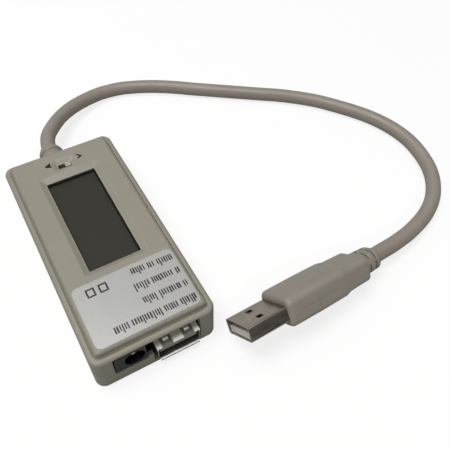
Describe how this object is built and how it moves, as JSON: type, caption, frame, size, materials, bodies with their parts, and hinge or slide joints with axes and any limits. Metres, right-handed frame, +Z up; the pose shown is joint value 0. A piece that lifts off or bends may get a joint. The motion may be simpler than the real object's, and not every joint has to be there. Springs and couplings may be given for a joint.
{
  "type": "usb power meter",
  "caption": "Inline USB power meter with a liquid crystal window, a mode slide switch, USB-A and barrel sockets and a captive cable with a USB-A plug",
  "frame": {"origin": "middle of the underside of the case, on the table, half way between the far face and the foremost lip of the USB-A socket", "axes": "+X across the case towards the USB-A socket side, +Y along the case towards the cable end, +Z up, out of the face with the window"},
  "size_m": [0.1415, 0.131, 0.0169],
  "materials": {
    "case_plastic": "fine spark texture, satin",
    "screw_steel": "zinc plated",
    "lens": "clear acrylic sheet",
    "polarizer": "smooth film",
    "lcd_glass": "polished",
    "reflector": "satin film",
    "white_plastic": "moulded",
    "zebra_rubber": "soft striped",
    "circuit_board": "solder mask over glass laminate",
    "black_plastic": "moulded epoxy",
    "tinned_metal": "tin plated",
    "capacitor_ceramic": "fired",
    "contact_brass": "gold flashed",
    "shunt_alloy": "drawn wire",
    "capacitor_sleeve": "shrink sleeve",
    "fuse_green": "laminate",
    "trimmer_blue": "moulded",
    "brown_laminate": "punched laminate",
    "knob_ivory": "moulded",
    "nickel_shell": "nickel plated sheet",
    "jack_black": "moulded",
    "label_silver": "satin silver polyester film",
    "print_ink": "printed",
    "cord_plastic": "soft vinyl, satin",
    "wire_red": "insulation",
    "wire_white": "insulation",
    "wire_green": "insulation",
    "wire_black": "insulation"
  },
  "bodies": {
    "meter": {"case_lower": "case_plastic", "case_upper": "case_plastic", "case_screws": "screw_steel", "window_lens": "lens", "lcd_polarizer": "polarizer", "lcd_glass": "lcd_glass", "lcd_reflector": "reflector", "lcd_holder": "white_plastic", "zebra_strips": "zebra_rubber", "meter_board": "circuit_board", "meter_chip": "black_plastic", "chip_pins": "tinned_metal", "meter_resistors": "black_plastic", "meter_capacitors": "capacitor_ceramic", "header_strip": "black_plastic", "header_pins": "contact_brass", "main_board": "circuit_board", "shunt": "shunt_alloy", "power_capacitor": "capacitor_sleeve", "fuse": "fuse_green", "regulator": "black_plastic", "trimmer": "trimmer_blue", "trimmer_rotor": "contact_brass", "switch_frame": "tinned_metal", "switch_base": "brown_laminate", "switch_terminals": "tinned_metal", "usb_shell": "nickel_shell", "usb_tongue": "white_plastic", "usb_contacts": "contact_brass", "jack_body": "jack_black", "jack_pin": "tinned_metal", "jack_spring": "tinned_metal", "jack_terminals": "tinned_metal", "label": "label_silver", "label_print": "print_ink", "switch_marks": "print_ink", "cable_gland": "cord_plastic", "cable": "cord_plastic", "wire_red": "wire_red", "wire_white": "wire_white", "wire_green": "wire_green", "wire_black": "wire_black", "plug_grip": "cord_plastic", "plug_relief": "cord_plastic", "plug_shell": "nickel_shell", "plug_insulator": "white_plastic", "plug_contacts": "contact_brass"},
    "slider": {"switch_knob": "knob_ivory", "switch_shutter": "brown_laminate", "switch_contact": "contact_brass"}
  },
  "joints": [
    {"name": "mode_slide", "type": "slide", "parent": "meter", "child": "slider", "axis": [-1, 0, 0], "range_m": [0, 0.0022]}
  ]
}
